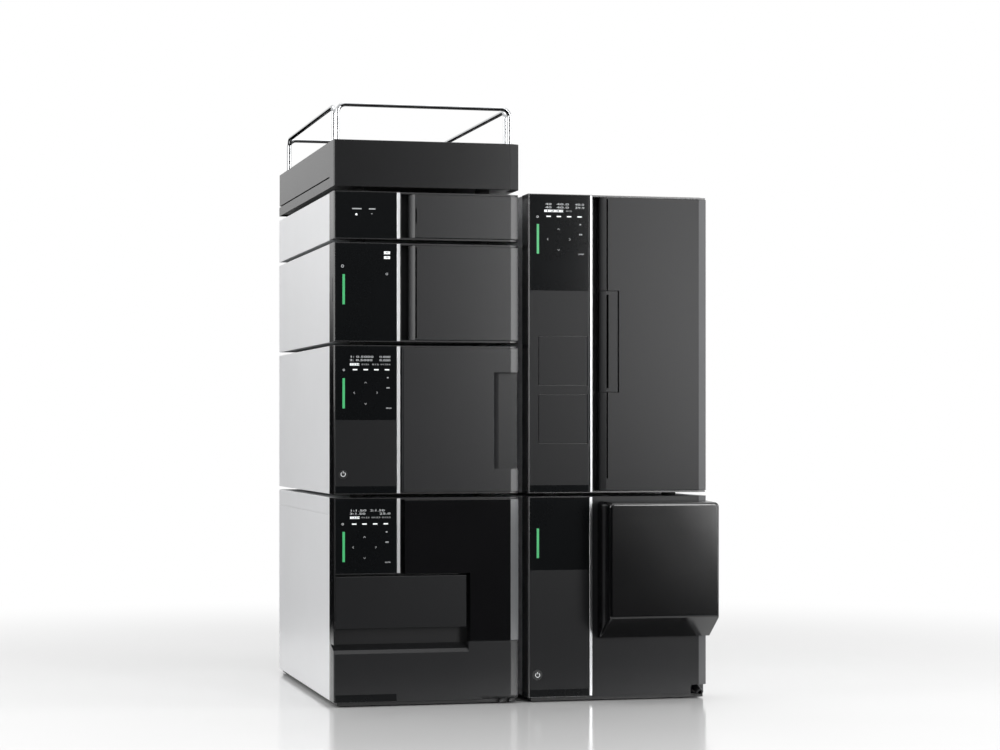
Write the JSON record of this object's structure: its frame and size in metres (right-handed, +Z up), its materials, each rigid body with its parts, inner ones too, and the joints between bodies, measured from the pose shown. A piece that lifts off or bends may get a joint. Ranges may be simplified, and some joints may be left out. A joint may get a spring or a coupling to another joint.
{
  "type": "liquid chromatograph mass spectrometer",
  "caption": "Two stacks of dark-fronted bench modules: pump, autosampler, detector, controller and bottle tray, beside an oven on a mass spectrometer with a hinged source cover.",
  "frame": {"origin": "middle of the footprint, on the surface that the feet stand on", "axes": "+X to the right seen from the front, +Y to the back, +Z up"},
  "size_m": [0.5328, 0.5734, 0.826],
  "materials": {
    "cover_paint": "fine satin paint",
    "chassis_paint": "satin grey paint",
    "bezel_plastic": "fine matte grain",
    "door_paint": "satin dark grey",
    "gloss_black": "polished black",
    "display_black": "polished black touch panel",
    "bright_strip": "satin bright",
    "green_light": "lit diffuser",
    "rubber_black": "matte",
    "steel": "turned and polished",
    "rail_chrome": "mirror polished",
    "tray_paint": "satin dark grey",
    "white_plastic": "moulded",
    "black_plastic": "moulded",
    "vial_glass": "clear"
  },
  "bodies": {
    "stacks": {"column_clips": "white_plastic", "controller_bezel": "bezel_plastic", "controller_chassis": "chassis_paint", "controller_cover": "cover_paint", "detector_bezel": "bezel_plastic", "detector_chassis": "chassis_paint", "detector_cover": "cover_paint", "display_glass": "display_black", "drain_spouts": "black_plastic", "end_rails": "rail_chrome", "flow_cell": "steel", "hatch_covers": "door_paint", "injection_valve": "steel", "ion_source": "steel", "lower_panels": "door_paint", "oven_bezel": "bezel_plastic", "oven_chassis": "chassis_paint", "oven_columns": "steel", "oven_cover": "cover_paint", "power_inlets": "black_plastic", "pump_bezel": "bezel_plastic", "pump_chassis": "chassis_paint", "pump_cover": "cover_paint", "pump_heads": "steel", "pump_tubing": "steel", "purge_valve": "steel", "rear_hoods": "black_plastic", "rubber_feet": "rubber_black", "sampler_bezel": "bezel_plastic", "sampler_chassis": "chassis_paint", "sampler_cover": "cover_paint", "sampler_lower_panel": "door_paint", "side_rails": "rail_chrome", "spectrometer_bezel": "bezel_plastic", "spectrometer_chassis": "chassis_paint", "spectrometer_cover": "cover_paint", "spectrometer_front": "door_paint", "spray_probe": "steel", "status_lights": "green_light", "tray_base": "tray_paint", "tray_bezel": "tray_paint", "tray_box": "tray_paint", "trim_strips": "bright_strip"},
    "purge_knob": {"purge_knob": "black_plastic"},
    "pump_power_button": {"pump_power_button": "black_plastic"},
    "pump_door": {"pump_door": "door_paint"},
    "controller_door": {"controller_door": "door_paint"},
    "detector_door": {"detector_door": "door_paint"},
    "sampler_door": {"sampler_door": "gloss_black"},
    "sampler_drawer": {"sampler_drawer": "door_paint", "vial_rack": "white_plastic", "sample_vials": "vial_glass"},
    "needle_arm": {"needle_arm": "steel"},
    "needle_head": {"needle_head": "white_plastic"},
    "oven_door": {"oven_door": "door_paint"},
    "oven_handle": {"oven_handle": "door_paint"},
    "oven_fan": {"oven_fan": "black_plastic"},
    "source_cover": {"source_cover": "gloss_black"},
    "spectrometer_power_button": {"spectrometer_power_button": "black_plastic"},
    "rear_fan": {"rear_fan": "black_plastic"}
  },
  "joints": [
    {"name": "controller_door_hinge", "type": "hinge", "parent": "stacks", "child": "controller_door", "pos_m": [-0.01435, -0.21725, 0.6705], "axis": [0, 0, 1], "range_deg": [0, 110]},
    {"name": "detector_door_hinge", "type": "hinge", "parent": "stacks", "child": "detector_door", "pos_m": [-0.01435, -0.21725, 0.5655], "axis": [0, 0, 1], "range_deg": [0, 110]},
    {"name": "pump_door_hinge", "type": "hinge", "parent": "stacks", "child": "pump_door", "pos_m": [-0.16635, -0.22275, 0.3915], "axis": [0, 0, -1], "range_deg": [0, 95]},
    {"name": "purge_knob_turn", "type": "hinge", "parent": "stacks", "child": "purge_knob", "pos_m": [-0.09235, -0.15325, 0.436], "axis": [0, -1, 0], "range_deg": [0, 180]},
    {"name": "pump_power_press", "type": "slide", "parent": "stacks", "child": "pump_power_button", "axis": [0, 1, 0], "range_m": [0, 0.0012], "stiffness_N_per_m": 400},
    {"name": "sampler_door_hinge", "type": "hinge", "parent": "stacks", "child": "sampler_door", "pos_m": [-0.01435, -0.21725, 0.1845], "axis": [0, 0, 1], "range_deg": [0, 110]},
    {"name": "sampler_drawer_slide", "type": "slide", "parent": "stacks", "child": "sampler_drawer", "axis": [0, -1, 0], "range_m": [0, 0.25]},
    {"name": "needle_arm_travel", "type": "slide", "parent": "stacks", "child": "needle_arm", "axis": [1, 0, 0], "range_m": [-0.06, 0.06]},
    {"name": "needle_lift", "type": "slide", "parent": "needle_arm", "child": "needle_head", "axis": [0, 0, 1], "range_m": [-0.04, 0]},
    {"name": "oven_door_hinge", "type": "hinge", "parent": "stacks", "child": "oven_door", "pos_m": [0.25835, -0.21725, 0.4975], "axis": [0, 0, 1], "range_deg": [0, 110]},
    {"name": "oven_handle_pull", "type": "hinge", "parent": "oven_door", "child": "oven_handle", "pos_m": [0.13235, -0.22525, 0.501], "axis": [0, 0, 1], "range_deg": [0, 20], "stiffness_Nm_per_rad": 0.05},
    {"name": "oven_fan_spin", "type": "hinge", "parent": "stacks", "child": "oven_fan", "pos_m": [0.18935, -0.08925, 0.62], "axis": [0, 1, 0], "continuous": true},
    {"name": "source_cover_hinge", "type": "hinge", "parent": "stacks", "child": "source_cover", "pos_m": [0.25835, -0.23775, 0.1845], "axis": [0, 0, 1], "range_deg": [0, 100]},
    {"name": "spectrometer_power_press", "type": "slide", "parent": "stacks", "child": "spectrometer_power_button", "axis": [0, 1, 0], "range_m": [0, 0.0012], "stiffness_N_per_m": 400},
    {"name": "rear_fan_spin", "type": "hinge", "parent": "stacks", "child": "rear_fan", "pos_m": [0.08635, 0.25375, 0.1565], "axis": [0, 1, 0], "continuous": true}
  ]
}
